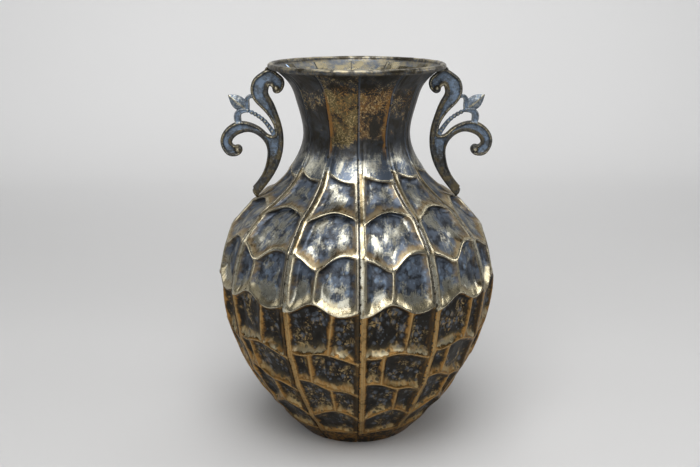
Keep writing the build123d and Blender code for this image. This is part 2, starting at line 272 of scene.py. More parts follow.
def panel_rows():
    """Cell number and share between its two ridges for every row of a panel's mesh."""
    cells, shares = [], []
    counts = [BOTTOM_ROWS] + [DISH_ROWS] * len(DISH_DEPTHS) + [NECK_ROWS]
    for cell, count in enumerate(counts):
        even = np.arange(count) / count
        crowded = (1 - np.cos(pi * even)) / 2
        shares += (even + (crowded - even) * ROW_CROWDING).tolist()
        cells += [cell] * count
    return np.array(cells + [len(counts) - 1]), np.array(shares + [1.0])


ROW_CELLS, ROW_SHARES = panel_rows()


def ridge_runs(share):
    """Distance along the outline of the floor edge, each ridge and the rim edge."""
    inside = np.clip(share, 0, 1)
    bottom = np.full(share.shape, run_at(PANEL_BOTTOM))
    top = np.full(share.shape, run_at(PANEL_TOP))
    return np.stack([bottom] + [run_at(line(inside)) for line in ridge_lines] + [top])


def panel_layout():
    """Height, place across, width, and distances to the ridges for every point of a panel."""
    width = np.full((len(ROW_CELLS), len(COLUMN_OFFSETS)), 2 * pi * RADII.max() / GORE_COUNT)
    for _ in range(LAYOUT_PASSES):
        across = COLUMN_OFFSETS + COLUMN_SHARES * width
        runs = ridge_runs(across / width)
        cells = ROW_CELLS[None, :, None]
        low, high = [np.take_along_axis(runs, ridge, 0)[0] for ridge in (cells, cells + 1)]
        run = low + (high - low) * ROW_SHARES[:, None]
        z = height_at(run)
        width = 2 * pi * profile_radius(z) / GORE_COUNT
    return z, across, width, run - low, high - run


def ramp(distance, length):
    """Share of a dish's depth at a distance from one of its ridges."""
    eased = np.hypot(np.maximum(distance, 0), CREST_ROUNDING) - CREST_ROUNDING
    return 1 - (1 - np.minimum(eased / length, 1)) ** 2


def panel_relief(z, across, width, foot, head):
    """Depth of the dishes, and the distance to the nearest upright ridge or band."""
    row = ROW_CELLS[:, None] - 1
    dished = (row >= 0) & (row < len(DISH_DEPTHS))
    left = np.full(z.shape, WIDE_BAND)
    right = width - DISH_INSET
    for number, (low_share, high_share) in DIVIDERS.items():
        middle = width * (low_share + (high_share - low_share) * foot / (foot + head))
        split = row == number
        right = np.where(split & (across < middle), middle, right)
        left = np.where(split & (across >= middle), middle, left)
    sides = ramp(across - left, LEFT_RAMP) * ramp(right - across, RIGHT_RAMP)
    ends = ramp(foot, FOOT_RAMP) * ramp(head, HEAD_RAMP)
    depths = np.array([0.0] + DISH_DEPTHS + [0.0])[ROW_CELLS][:, None]
    nearest = np.minimum(across - left, right - across)
    return depths * sides * ends, np.where(dished, np.maximum(nearest, 0), 0.0)


def seam_sag(z):
    """Sag of the seams at a height, none where ridges meet them."""
    run = run_at(z)
    crests = run_at(np.array([(ridge[0][1] + ridge[-1][1]) / 2 for ridge in RIDGES]))
    place = np.searchsorted(crests, run)
    in_rows = (place > 0) & (place < len(crests))
    low = crests[np.clip(place - 1, 0, None)]
    high = crests[np.clip(place, None, len(crests) - 1)]
    return SEAM_SAG * ramp(run - low, SAG_RAMP) * ramp(high - run, SAG_RAMP) * in_rows


PANEL_Z, PANEL_ACROSS, PANEL_WIDTH, PANEL_FOOT, PANEL_HEAD = panel_layout()
PANEL_INSET = np.minimum(PANEL_ACROSS, PANEL_WIDTH - PANEL_ACROSS) / (SAG_SHARE * PANEL_WIDTH)
PANEL_SAG = seam_sag(PANEL_Z) * (1 - smoothstep(0, 1, PANEL_INSET))
PANEL_RELIEF, PANEL_SIDE = panel_relief(PANEL_Z, PANEL_ACROSS, PANEL_WIDTH, PANEL_FOOT, PANEL_HEAD)
PANEL_EDGE = np.minimum(PANEL_SIDE, np.minimum(PANEL_FOOT, PANEL_HEAD))
DROP_SHARE = smoothstep(0, JOGGLE_WIDTH, PANEL_ACROSS - PANEL_WIDTH + DROP_INSET)
PANEL_DROP = (SHEET_THICKNESS + LAP_GAP) * DROP_SHARE
INNER_DROP = (SHEET_THICKNESS + LAP_GAP) * smoothstep(-INNER_RAMP, 0, PANEL_ACROSS - PANEL_WIDTH)


def band_crown(across):
    """Drop of the wide band's two edges, fading out into the dishes beside it."""
    beside = BAND_CROWN * (1 - smoothstep(WIDE_BAND, WIDE_BAND + CROWN_FADE, across))
    return np.where(across < WIDE_BAND, BAND_CROWN * (2 * across / WIDE_BAND - 1) ** 2, beside)


PANEL_CROWN = band_crown(PANEL_ACROSS)
# Distance across the panel from the seam that has rusted
RUST_DISTANCES = {-1: PANEL_ACROSS, 0: 0 * PANEL_Z + NO_RUST, 1: np.abs(PANEL_WIDTH - PANEL_ACROSS)}


def on_body(z, across, sunk, gore):
    """Point of the vase at a place across a gore, sunk square to the outline."""
    radius = profile_radius(z)
    angle = across / radius + 2 * pi * gore / GORE_COUNT - pi / 2
    return round_points(radius - sunk * stretch(z), angle, z)


def gore_grids(gore):
    """Stamped outer face with its own small dents, plain inner face, and soldered end of the flange."""
    rng = np.random.default_rng(SEED + gore)
    flat = on_body(PANEL_Z, PANEL_ACROSS, 0 * PANEL_Z, gore)
    depth_share = 1 + DEPTH_SPREAD * ripple(flat, rng, DEPTH_LENGTH, 1)
    dents = ripple(flat, rng, DENT_LENGTH, DENT_HEIGHT) * smoothstep(0, DENT_INSET, PANEL_EDGE)
    sunk = np.maximum(PANEL_RELIEF * depth_share + dents, 0) + PANEL_SAG + PANEL_CROWN
    outer = on_body(PANEL_Z, PANEL_ACROSS, sunk + PANEL_DROP + EDGE_SINK, gore)
    inner_sunk = (sunk + INNER_DROP)[INNER_PICK] + SHEET_THICKNESS
    inner = on_body(PANEL_Z[INNER_PICK], PANEL_ACROSS[INNER_PICK], inner_sunk, gore)
    in_sheet = PANEL_SAG[INNER_ROWS, -1] + BAND_CROWN + SHEET_THICKNESS / 2
    end_sunk = np.stack([inner_sunk[:, -1], in_sheet], -1)
    end = on_body(PANEL_Z[END_PICK], PANEL_ACROSS[END_PICK] + (0, SOLDER_WIDTH), end_sunk, gore)
    return outer, inner, end


def on_points(outer_values, inner_value=0, end_value=0):
    """Values of a gore's points: each of its outer face, and one for the inner face and for the end."""
    inner_values = np.full(PANEL_Z[INNER_PICK].size, inner_value)
    end_values = np.full(PANEL_Z[END_PICK].size, end_value)
    return np.concatenate([outer_values.ravel(), inner_values, end_values])


def gore_attributes(gore):
    """Places on the panel for its finish: distances in millimetres, and the flat panel in metres."""
    flat = np.stack([PANEL_ACROSS + GORE_SPACING * gore, run_at(PANEL_Z), 0 * PANEL_Z], -1) * MM
    seam = np.maximum(DROP_SHARE, EDGE_SINK / SHEET_THICKNESS)
    return {
        "panel": joined([flat, flat[INNER_PICK], flat[END_PICK]]),
        "side": on_points(PANEL_SIDE),
        "foot": on_points(PANEL_FOOT),
        "head": on_points(PANEL_HEAD),
        "across": on_points(PANEL_ACROSS),
        "to_right": on_points(PANEL_WIDTH - PANEL_ACROSS),
        "row": on_points(ROW_CELLS[:, None] - 1 + 0 * PANEL_Z, INNER_ROW, INNER_ROW),
        "seam": on_points(seam, 0, 1),
        "inside": on_points(0 * PANEL_Z, 1, 1),
        "gild": on_points(0 * PANEL_Z + NECK_GILDING[gore]),
        "rust": on_points(RUST_DISTANCES[RUSTED_SEAM[gore]], NO_RUST, NO_RUST),
    }


def gore_panel(gore, material):
    """One stamped panel."""
    name = f"gore_{gore + 1:02d}"
    obj = grid_object(name, gore_grids(gore), [False, True, True], gore_attributes(gore), material)
    add_piece(obj, "antique_gold_sheet", f"gore_panel_{gore + 1:02d}")


class Layer:
    """What a shader node gives; arithmetic with it adds more nodes."""

    def __init__(self, tree, socket):
        self.tree = tree
        self.socket = socket

    def calc(self, operation, other=0.0):
        """One step of arithmetic."""
        return put(self.tree, "Math", {0: self, 1: other}, operation=operation)

    def __add__(self, other):
        return self.calc("ADD", other)

    def __sub__(self, other):
        return self.calc("SUBTRACT", other)

    def __mul__(self, other):
        return self.calc("MULTIPLY", other)

    __rmul__ = __mul__


def plug(tree, socket, value):
    """Give a shader input a value or a layer."""
    if isinstance(value, Layer):
        tree.links.new(value.socket, socket)
    else:
        socket.default_value = value


def put(tree, kind, inputs, output=0, **settings):
    """Add a shader node of this kind with these inputs, and return what it gives."""
    node = tree.nodes.new("ShaderNode" + kind)
    for name, value in settings.items():
        setattr(node, name, value)
    for name, value in inputs.items():
        plug(tree, node.inputs[name], value)
    return Layer(tree, node.outputs[output])


def most(*layers):
    """Largest of the layers."""
    return reduce(lambda a, b: a.calc("MAXIMUM", b), layers)


def least(a, b):
    """Smaller of two layers."""
    return a.calc("MINIMUM", b)


def rise(layer, low, high):
    """Smooth step from 0 at low to 1 at high; falls instead where low is the larger."""
    inputs = {"Value": layer, "From Min": low, "From Max": high}
    return put(layer.tree, "MapRange", inputs, interpolation_type="SMOOTHSTEP")


def between(share, a, b):
    """Number a where share is 0 and b where it is 1."""
    return put(share.tree, "Mix", {0: share, 2: a, 3: b}, data_type="FLOAT")


def blend(share, a, b):
    """Colour a where share is 0 and b where it is 1."""
    a, b = [(*color, 1.0) if isinstance(color, tuple) else color for color in (a, b)]
    return put(share.tree, "Mix", {0: share, 6: a, 7: b}, output=2, data_type="RGBA")


def coats(color, *layers):
    """Paint coats, given as (share, colour), over a colour one after another."""
    for share, coat in layers:
        color = blend(share, color, coat)
    return color


def scaled(place, scale):
    """Place multiplied by a number, or by one for each axis."""
    scales = scale if isinstance(scale, tuple) else (scale, scale, scale)
    return put(place.tree, "VectorMath", {0: place, 1: scales}, operation="MULTIPLY")


def speckle(place, scale, detail=4.0, roughness=0.6, distortion=0.0):
    """Noise with this many repeats to the metre."""
    inputs = {"Vector": scaled(place, scale), "Scale": 1.0, "Detail": detail, "Roughness": roughness,
              "Distortion": distortion}
    return put(place.tree, "TexNoise", inputs)


def scatter(place, scale):
    """Distance to the nearest of many scattered points, with this many to the metre."""
    return put(place.tree, "TexVoronoi", {"Vector": scaled(place, scale), "Scale": 1.0}, "Distance")


class Finish:
    """A procedural material."""

    def __init__(self, name):
        self.material = bpy.data.materials.new(name)
        self.material.use_nodes = True
        self.tree = self.material.node_tree
        self.place = put(self.tree, "TexCoord", {}, "Object")

    def attribute(self, name, output="Fac"):
        """Layer stored on the mesh's points."""
        return put(self.tree, "Attribute", {}, output, attribute_name=name)

    def axis(self, name):
        """One coordinate of the place."""
        return put(self.tree, "SeparateXYZ", {"Vector": self.place}, name)

    def feed(self, values):
        """Give the shader's inputs their values or layers."""
        shader = self.tree.nodes["Principled BSDF"]
        for name, value in values.items():
            plug(self.tree, shader.inputs[name], value)

    def dress(self, color, metallic, roughness, relief, relief_height):
        """Connect the layers to the shader."""
        bump = {"Height": relief, "Strength": 1.0, "Distance": relief_height}
        self.normal = put(self.tree, "Bump", bump)
        self.feed({"Base Color": color, "Metallic": metallic, "Roughness": roughness, "Normal": self.normal})


# Colours of the worn antique finish, in linear light
CREST_GOLD = (0.57, 0.51, 0.36)
PALE_GOLD = (0.50, 0.44, 0.29)
WHITE_RUB = (0.54, 0.52, 0.42)
BRASS = (0.46, 0.34, 0.16)
KHAKI = (0.24, 0.19, 0.105)
BROWN_GOLD = (0.22, 0.16, 0.085)
OCHRE_GOLD = (0.33, 0.18, 0.055)
FRINGE_BROWN = (0.110, 0.060, 0.019)
RUST_GOLD = (0.24, 0.12, 0.035)
DULL_GOLD = (0.25, 0.215, 0.135)
SLATE = (0.098, 0.120, 0.156)
DARK_SLATE = (0.028, 0.031, 0.037)
NECK_SLATE = (0.050, 0.054, 0.060)
NECK_KHAKI = (0.135, 0.104, 0.046)
DROP_SLATE = (0.085, 0.100, 0.122)
SMOKE = (0.030, 0.027, 0.022)
SOOT = (0.008, 0.007, 0.006)
CHAR = (0.018, 0.016, 0.013)
BURNT = (0.030, 0.021, 0.010)
OLIVE = (0.050, 0.042, 0.028)
HANDLE_SLATE = (0.165, 0.225, 0.31)
HANDLE_GREY = (0.075, 0.085, 0.095)
HANDLE_OLIVE = (0.115, 0.092, 0.048)
HANDLE_BRASS = (0.52, 0.47, 0.33)
# Aged metal mirrors less at a glancing angle than clean metal
EDGE_TINT = (0.60, 0.57, 0.53, 1.0)
# Heights of the fine relief, in metres
WORN_RELIEF = 0.0006
PLAIN_RELIEF = 0.0004


def gold_layers(f):
    """What all parts of the gold share: places on a panel, noise and masks."""
    names = ("side", "foot", "head", "row", "across", "to_right", "seam", "inside", "gild", "rust")
    g = SimpleNamespace(**{name: f.attribute(name) for name in names})
    g.panel = f.attribute("panel", "Vector")
    g.height = f.axis("Z")

    # Noise from coarse to fine
    g.cloud = speckle(g.panel, (46, 34, 1), 5, 0.62, 0.7)
    g.blotch = speckle(g.panel, (85, 70, 1), 4, 0.6, 0.4)
    g.streak = speckle(g.panel, (330, 80, 1), 4, 0.6, 0.3)
    g.spot = speckle(g.panel, (230, 210, 1), 4, 0.66, 0.25)
    g.grain = speckle(g.panel, (520, 400, 1), 3, 0.7, 0.3)
    g.uneven = 9 * g.blotch + 4 * g.spot - 6.5
    g.mottle = rise(0.7 * g.blotch + 0.3 * g.spot, 0.40, 0.58)

    # The belly row and all above it, the belly row and all below it, the neck, and the wide bands
    g.upper = rise(g.row, BELLY_ROW - 0.7, BELLY_ROW - 0.3)
    g.belly_row = rise(g.row, BELLY_ROW + 0.6, BELLY_ROW + 0.3)
    g.on_neck = rise(g.row, NECK_ROW - 0.6, NECK_ROW - 0.1)
    g.on_band = rise(g.across, 5.7, 4.9)

    # Distance from the nearest crest, counted longer below it, so that the gold reaches further up the
    # crest's upper side than down its lower side: partly wear, partly painted light and shade, lit above and
    # shaded below
    g.scallop = least(g.foot, 1.7 * g.head)
    beside_band = between(rise(g.across, 16, 11), 1.0, 1.35)
    g.reach = least(g.side * beside_band, g.scallop)
    g.wavy = g.reach + 1.5 * g.uneven

    # Drops of slate paint, which lie well inside the dishes
    g.well_in = rise(g.foot, 4, 10) * rise(least(g.side, g.head), 3, 7)
    g.drop = scatter(g.panel, (115, 105, 1)) + 0.3 * g.spot - 0.15
    small_drop = scatter(g.panel, (210, 190, 1)) + 0.3 * g.grain - 0.15
    large_drops = rise(g.drop, 0.48, 0.18) * rise(g.cloud, 0.40, 0.52)
    small_drops = rise(small_drop, 0.40, 0.18) * rise(g.blotch, 0.48, 0.62)
    g.drops = most(large_drops, small_drops) * g.well_in
    return g


def upper_gold(g):
    """Slate patina with strokes of pale gold rubbed through it: colour and share of worn gold."""
    # Painted shade: each dish turns to char for a few millimetres under its upper crest, where its head
    # faces down
    painted_shade_under_crest = 0.8 * rise(g.head + 8 * g.blotch - 4, 9, 1.5)
    slate = coats(DARK_SLATE, (g.mottle, SLATE), (painted_shade_under_crest, CHAR),
                  (0.8 * g.drops * g.belly_row, HANDLE_SLATE))
    middle = rise(g.side, 3, 18) * rise(g.head, 4, 14)
    # Painted light and shade in the belly row: fewer pale rubs high in the dish and more near its foot
    belly_painted_light = g.belly_row * (0.15 * rise(g.foot, 36, 8) - 0.045)
    rub_amount = 0.70 * g.cloud + 0.24 * g.grain + 0.20 * g.streak + 0.08 * middle + belly_painted_light
    rub = rise(rub_amount, 0.62, 0.73)

    # Brown gold round the dish, and pale gold at its foot: partly rubbed gold, partly a painted highlight
    # where the foot faces up to the light, widest and strongest in the belly row
    fringe = rise(g.wavy, 8.5, 2.5) * rise(0.6 * g.cloud + 0.4 * g.spot, 0.40, 0.62)
    brown_foot = rise(g.foot + 2 * g.uneven, 12, 4)
    pale_reach = g.foot + 30 * g.cloud + 16 * g.streak - 23 - 6 * g.belly_row
    pale_foot_and_highlight = rise(pale_reach, 7, 1) * between(g.belly_row, 0.3, 0.85)

    # Bright line along the crests, darker on the panel's right border
    line = rise(least(1.6 * g.side, g.scallop) + 0.35 * g.uneven, 3.7, 2.1)
    bright = rise(0.7 * g.cloud + 0.3 * g.streak, 0.36, 0.50)
    right_border_dark = 0.75 * rise(g.to_right, 5, 3.4) * rise(g.scallop, 1.5, 4)
    line_color = coats(BROWN_GOLD, (bright, CREST_GOLD), (right_border_dark, blend(g.streak, SLATE, KHAKI)))

    # Wide band, with painted light and shade: paler in the belly row and duller in the highest row of
    # dishes; slate along the lap
    band_painted_light = 0.05 * g.belly_row - 0.21 * rise(g.row, 5.4, 5.7) + 0.06
    band_light = rise(0.5 * g.streak + 0.6 * g.cloud + band_painted_light, 0.55, 0.71)
    band_slate = rise(g.across, 2.4, 1.0) * between(g.belly_row, 0.6, 0.2)
    band_color = coats(KHAKI, (band_light, WHITE_RUB), (band_slate, SLATE))

    color = coats(slate, (0.8 * rub, WHITE_RUB), (most(fringe, brown_foot), BROWN_GOLD),
                  (pale_foot_and_highlight, PALE_GOLD), (line, line_color), (g.on_band, band_color))
    return color, most(line, rub, pale_foot_and_highlight)


def lower_gold(g):
    """Black dishes and rounded ochre ridges: colour, share of worn gold, and the gloss of the feet with its
    painted highlight.
    """
    char = blend(g.mottle, SOOT, blend(rise(g.cloud, 0.45, 0.58), CHAR, BURNT))
    haze = 0.4 * rise(g.foot + 3 * g.uneven, 20, 5)
    haze_color = blend(g.cloud, NECK_KHAKI, KHAKI)

    # Smears and lace of gold with small holes, and gold at the foot of the dish
    lace = rise(speckle(g.panel, (120, 110, 1), 3, 0.6, 2.0), 0.52, 0.60) * rise(g.cloud, 0.46, 0.58)
    hole = scatter(g.panel, (135, 125, 1)) + 0.4 * g.spot - 0.2
    smear = rise(0.50 * g.cloud + 0.30 * g.blotch + 0.32 * g.spot + 0.45 * haze, 0.60, 0.74)
    smear = most(smear, lace * g.well_in) * rise(hole, 0.28, 0.44)
    smear_color = blend(rise(0.4 * g.streak + 0.6 * g.cloud, 0.42, 0.58), OCHRE_GOLD, BRASS)
    foot_gold = rise(g.foot + 2.4 * g.uneven, 10, 3) * most(rise(hole, 0.26, 0.38), rise(g.foot, 5, 2.5))
    # Painted highlight: pale gold in patches on the feet of the row under the belly, where they face up to
    # the light; the same mask also makes them smoother
    gloss_and_highlight = rise(0.7 * g.cloud + 0.3 * g.blotch, 0.42, 0.52) * rise(g.foot + g.uneven, 13, 3)
    gloss_and_highlight = gloss_and_highlight * rise(g.row, BELLY_ROW - 1.6, BELLY_ROW - 1.2)
    dish = coats(char, (g.drops, DROP_SLATE), (haze, haze_color), (0.75 * smear, smear_color),
                 (foot_gold, smear_color), (gloss_and_highlight, PALE_GOLD))

    # Ridges and bands: brown edges and brass along the middle, partly tarnish and partly painted shade and
    # highlight that round the ridge, and black on the panel's right border
    ridge = most(rise(g.wavy, 5.2, 2.2), rise(g.reach, 2.8, 1.2))
    glint = rise(0.5 * g.blotch + 0.5 * g.streak, 0.52, 0.68)
    # Painted highlight: brass along the middle of each band and on each crest line
    band_middle_highlight = rise((g.across - 3.6).calc("ABSOLUTE"), 2.4, 0.6) * g.on_band
    crest = most(band_middle_highlight, rise(g.reach, 1.6, 0.2) * rise(g.across, 5, 6.5))
    tarnish = rise(0.45 * g.spot + 0.55 * g.blotch, 0.50, 0.62)
    right_border_black = rise(g.to_right, 9, 6) * rise(g.scallop, 1.5, 5)
    right_border_color = blend(rise(0.6 * g.blotch + 0.4 * g.spot, 0.46, 0.60), CHAR, FRINGE_BROWN)
    gold = coats(FRINGE_BROWN, (rise(g.wavy, 4, 0.6), blend(glint, OCHRE_GOLD, BRASS)),
                 (0.55 * crest, BRASS), (0.55 * tarnish, FRINGE_BROWN), (0.92 * right_border_black, right_border_color))
    return blend(ridge, dish, gold), most(ridge, foot_gold, 0.7 * smear), gloss_and_highlight


def neck_gold(g):
    """Smoky slate with khaki gold left in patches: colour and share of worn gold."""
    smoky = rise(0.4 * g.blotch + 0.6 * g.cloud, 0.42, 0.58)
    window = rise(g.height, 0.396, 0.430) * rise(g.height, 0.492, 0.474)
    gild_amount = 0.55 * g.gild + 0.55 * g.cloud + 0.30 * g.blotch + 0.2 * window
    pepper = rise(0.5 * g.spot + 0.5 * g.grain, 0.62, 0.53)
    gilded = rise(gild_amount, 0.98, 1.10) * between(pepper, 0.15, 0.95)
    gild_color = blend(rise(0.4 * g.blotch + g.gild, 0.94, 1.02), RUST_GOLD, NECK_KHAKI)

    # Curled flakes of gold above the patches, and rust along some seams
    curl = speckle(g.panel, (210, 190, 1), 2, 0.5, 2.4)
    flake_zone = rise(gild_amount + 0.12 * rise(g.height, 0.440, 0.462), 0.94, 1.08)
    flake = 0.8 * rise(curl, 0.52, 0.60) * flake_zone
    flake_color = blend(rise(g.cloud, 0.45, 0.55), OCHRE_GOLD, BRASS)
    rust_zone = rise(g.height, 0.392, 0.410) * rise(g.height, 0.486, 0.470)
    rust = rise(g.rust + 1.5 * g.uneven, 6, 1.5) * rust_zone

    # Nape above the highest ridge, pale, with a bright line along its crest: partly rubbed gold, partly a
    # painted highlight where the nape faces up to the light
    nape = rise(g.height + 0.03 * g.streak + 0.05 * g.blotch - 0.04, 0.406, 0.382)
    nape_rub_and_light = rise(0.2 * g.streak + 0.6 * g.cloud + 0.3 * g.grain, 0.50, 0.64)
    nape_crest = rise(g.foot + 0.35 * g.uneven, 2.6, 1.2)

    color = coats(SMOKE, (smoky, NECK_SLATE), (0.4 * rise(g.streak, 0.5, 0.7), OLIVE), (gilded, gild_color),
                  (flake, flake_color), (0.6 * rise(g.across, 2.8, 1.6), SLATE), (rust, RUST_GOLD),
                  (nape, blend(nape_rub_and_light, SLATE, WHITE_RUB)), (nape_crest, CREST_GOLD))
    return color, most(nape_crest, gilded, 0.6 * nape)


def gold_finish():
    """Dark patina in the dishes, rubbed back to gold on ridges, seams and the feet of dishes."""
    f = Finish("antique_gold")
    g = gold_layers(f)
    upper_color, upper_worn = upper_gold(g)
    lower_color, lower_worn, gloss_and_highlight = lower_gold(g)
    neck_color, neck_worn = neck_gold(g)

    # Grime and weld pits along the bands, a dark foot, a dull inside and a dirty lap
    grime = rise(0.6 * g.streak + 0.5 * g.cloud, 0.54, 0.68) * between(g.on_band, 0.2, 0.35)
    pit = rise(0.7 * g.spot + 0.3 * g.grain, 0.55, 0.62) * between(g.upper, 1.0, 0.6)
    pit = pit * rise(g.across, 3.6, 1.4)
    foot_color = blend(rise(0.6 * g.spot + 0.5 * g.cloud, 0.52, 0.60), CHAR, OCHRE_GOLD)
    dull = blend(rise(0.7 * g.cloud + 0.3 * g.spot, 0.38, 0.60), DROP_SLATE, DULL_GOLD)
    lap = 0.85 * rise(g.seam + 0.8 * g.spot - 0.4, 0.7, 1.05)
    lap_color = blend(g.inside, blend(g.upper, DARK_SLATE, SLATE), HANDLE_SLATE)
    # Upper rows paler and bluer, lower rows darker and warmer: partly the patina, partly painted light, the
    # upper rows as if lit from above and the lower as if facing a dark, warm floor
    color = coats(lower_color, (g.upper, upper_color), (grime, OLIVE), (pit, SMOKE), (g.on_neck, neck_color),
                  (rise(g.row, -0.4, -0.9), foot_color), (g.inside, dull), (lap, lap_color))

    # Worn gold is smooth and metallic, patina is duller
    worn = between(g.on_neck, between(g.upper, lower_worn, upper_worn), neck_worn)
    rough = -0.10 * worn - 0.10 * gloss_and_highlight + 0.24 * g.spot - 0.07 * g.upper + 0.34
    relief = 0.5 * g.spot + 0.3 * g.streak - 0.6 * g.drop
    metal = 0.47 * worn - 0.20 * g.belly_row * g.upper * g.on_band + 0.45
    f.dress(color, metal, rough, relief, WORN_RELIEF)
    f.feed({"Specular IOR Level": 0.25, "Specular Tint": EDGE_TINT})
    f.feed({"Coat Weight": 0.10, "Coat Roughness": 0.15, "Coat Normal": f.normal})
    return f.material


def rim_finish():
    """Olive gold rod, pale on top as a painted highlight over rubbed gold, and dull solder inside it."""
    f = Finish("rim_gold")
    patch = speckle(f.place, 60, 5, 0.65, 0.4)
    spot = speckle(f.place, 300, 4, 0.6)
    gilded = 0.8 * rise(0.6 * patch + 0.5 * spot, 0.50, 0.70)
    # Painted highlight: pale gold in patches along the top of the rod, where it faces the light
    top = rise(f.axis("Z") + 0.004 * spot, 0.5080, 0.5120)
    rubbed = 0.6 * rise(patch, 0.42, 0.60) * top
    x, y = f.axis("X"), f.axis("Y")
    solder = rise((x * x + y * y).calc("SQRT"), 0.1100, 0.1085)
    dull = blend(rise(0.7 * patch + 0.3 * spot, 0.38, 0.62), DROP_SLATE, DULL_GOLD)
    color = coats(OLIVE, (rise(patch, 0.4, 0.6), DROP_SLATE), (gilded, KHAKI), (rubbed, PALE_GOLD),
                  (solder, dull))
    f.dress(color, between(solder, 0.85, 0.45), 0.25 * spot + 0.25, spot, PLAIN_RELIEF)
    return f.material


def handle_finish():
    """Slate patina in the hollows, olive gold on the borders, with bright flecks where hands wear it."""
    f = Finish("cast_scroll")
    patch = speckle(f.place, 80, 5, 0.65, 0.4)
    spot = speckle(f.place, 330, 4, 0.65)
    grain = speckle(f.place, 650, 2, 0.6)
    mottle = rise(0.5 * patch + 0.5 * spot, 0.40, 0.60)
    slate = blend(mottle, HANDLE_GREY, HANDLE_SLATE)
    olive = blend(mottle, SMOKE, blend(rise(patch, 0.44, 0.56), HANDLE_GREY, HANDLE_OLIVE))
    sunk = rise(f.attribute("hollow") + 0.8 * spot + 0.6 * patch - 0.7, 0.1, 0.6)
    rubbed = rise(0.4 * f.attribute("wear") + 0.6 * spot + 0.4 * grain + 0.3 * patch, 0.84, 1.02)
    color = coats(olive, (sunk, slate), (0.8 * rubbed, HANDLE_BRASS))
    rough = -0.12 * rubbed + 0.2 * spot + 0.36
    f.dress(color, between(rubbed, 0.3, 0.9), rough, 0.6 * spot + 0.4 * grain, WORN_RELIEF)
    f.feed({"Specular IOR Level": 0.4})
    return f.material


def dark_finish(name, scale, detail, high, dark):
    """Dark metal, mottled with olive."""
    f = Finish(name)
    spot = speckle(f.place, scale, detail, 0.65)
    color = blend(rise(spot, 0.35, high), dark, OLIVE)
    f.dress(color, 0.8, 0.3 * spot + 0.35, spot, PLAIN_RELIEF)
    return f.material


def weld_finish():
    """Burnt weld metal, nearly black."""
    return dark_finish("weld_metal", 500, 4, 0.6, SMOKE)


def base_finish():
    """Plain dark sheet under the vase."""
    return dark_finish("base_sheet", 60, 5, 0.7, SOOT)


gold = gold_finish()
for gore in range(GORE_COUNT):
    gore_panel(gore, gold)

# Handles: the CAD part's drawing, from the foot on the shoulder to the top under the rim
HANDLE_FOOT_HEIGHT = 330.0
HANDLE_DRAWN_TOP = (-21.2, 171.8)
NECK_EDGE = [(0, 0), (-16.8, 20.7), (-28.2, 39.3), (-34.7, 57.7), (-36.9, 75.9), (-35.5, 92.9),
             (-30, 112.1), (-22.1, 131.1), (-17.6, 141), (-19.6, 149.5)]
CROWN_EDGE = [(-19.6, 149.5), (-22.6, 147.5), (-23.9, 142.5), (-28.9, 139.4), (-34.6, 141.7),
              (-38.9, 148.8), (-39.1, 155.9), (-36.4, 161), (-30.8, 165.8), (-25.6, 170),
              (-21.2, 171.6), (-16.1, 171), (-7.7, 166.4), (0.8, 159.4), (5.3, 148.8), (5, 138.2),
              (-0.6, 127.5), (-9.8, 118), (-19.1, 106.1), (-24.7, 92.9), (-25.1, 83.8)]
SCROLL_EDGE = [(-25.1, 83.8), (-19.6, 83.8), (-9.1, 91.7), (2.7, 98.9), (20.5, 102.5), (33.9, 97.7),
               (43.8, 88), (47.9, 75.9), (44.8, 63.8), (37.9, 56.4), (28.2, 55.2), (20.9, 58.9),
               (18.8, 66.2), (22.9, 70.8), (28.6, 70.3)]
BELLY_EDGE = [(28.6, 70.3), (32.1, 73), (29.8, 79.6), (21.1, 85.6), (10.2, 88), (-2.8, 83.2),
              (-11, 74.7), (-14.4, 66.2), (-14, 51.5), (-9.9, 36.8), (-2.2, 23.2), (6, 13.2)]
CROWN_KNOB = (-28.5, 146, 4.2)
SCROLL_KNOB = (25.2, 63.5, 4.4)
BEAD_STEM = [(-24.5, 84.5, 3.2), (-17.6, 95.3, 3.0), (-9.5, 104.9, 2.5), (-1.3, 110.9, 2.1),
             (9.5, 116.6, 1.9)]
BEAD_COUNT = 8
BEAD_RADIUS = 2.9
BUD_EDGE = [(11, 118), (13.5, 131), (22.9, 137), (35.9, 137.6)]
BUD_LOWER_EDGE = [(35.9, 137.6), (33.8, 129.9), (27.1, 119.2), (18, 116.6), (11, 118)]
INNER_PETAL = [(10.8, 116, 2.6), (10.9, 124, 3.5), (10.7, 131, 3.4), (8, 135, 2.8), (3.5, 135.6, 2.4)]
OUTER_PETAL = [(9.5, 116.5, 2.4), (17, 116.4, 3), (23, 112.8, 4.6), (24, 106.5, 4.8), (22.6, 100, 4)]
# Half thicknesses of the casting
EDGE_HALF = 1.5
BODY_HALF = 4.4
KNOB_HALF = 4.8
BUD_EDGE_HALF = 0.7
BUD_HALF = 4.8
PETAL_HALF = 3.4
STEM_EDGE_HALF = 0.6
STEM_HALF = 1.3
BEAD_HALF = 3.4
# Widths over which its edges are rounded
BODY_ROUNDINGS = (1.8, 4.0)
BUD_ROUNDING = 7.0
PETAL_ROUNDING = 1.2
STEM_ROUNDING = 2.0
# Hollows, between raised borders; above the foot the stem's border widens into the arm's
HOLLOW_DEPTH = 2.6
HOLLOW_HEIGHTS = (14.0, 46.0)
OUTER_BORDER = 3.2
NECK_BORDER = 5.0
ARM_BORDER = 4.5
STEM_BORDER = 1.8
ARM_HEIGHTS = (62.0, 80.0)
BORDER_FALL = 2.2
PETAL_CUP = 1.2
PETAL_CUP_INSET = 3.0
# Groove round a knob: where it falls and climbs again, measured from the knob's edge
KNOB_GROOVE = (-1.2, 0.0, 0.3, 1.6)
KNOB_GROOVE_DEPTH = 1.2
